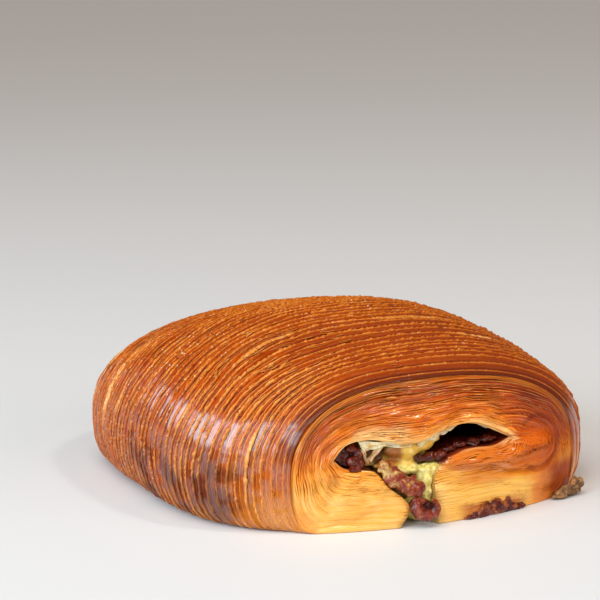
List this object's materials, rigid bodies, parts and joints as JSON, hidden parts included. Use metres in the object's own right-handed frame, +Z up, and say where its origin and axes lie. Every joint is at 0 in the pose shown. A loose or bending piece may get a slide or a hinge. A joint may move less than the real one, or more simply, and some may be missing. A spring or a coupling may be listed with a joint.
{
  "type": "pain suisse",
  "caption": "Baked roll of ridged laminated dough wrapped round custard and dark chocolate, open at both ends, resting on its seam side.",
  "frame": {"origin": "on the flat base, under the middle of the roll", "axes": "+Y along the roll from its open shown end to its far end, +X across it to the right as seen from the shown end, +Z up"},
  "size_m": [0.1076, 0.12, 0.0431],
  "materials": {
    "laminated_dough": "baked laminated dough: glossy brown skin with pale golden layer edges",
    "custard": "set custard: pale yellow, satin",
    "dark_chocolate": "melted and set dark chocolate: glossy, lumpy",
    "glazed_chocolate": "chocolate baked in custard and sugar: red-brown, glossy",
    "burnt_chocolate": "leaked filling, baked dark and crusty",
    "toasted_crumb": "toasted crumb: grey-brown, rough"
  },
  "bodies": {
    "root": {"pastry": "laminated_dough", "pastry_cream": "custard", "right_chocolate": "dark_chocolate", "left_chocolate": "dark_chocolate", "spilled_chocolate": "glazed_chocolate", "leaked_chocolate": "burnt_chocolate", "crisp_crumb": "toasted_crumb"}
  },
  "joints": []
}
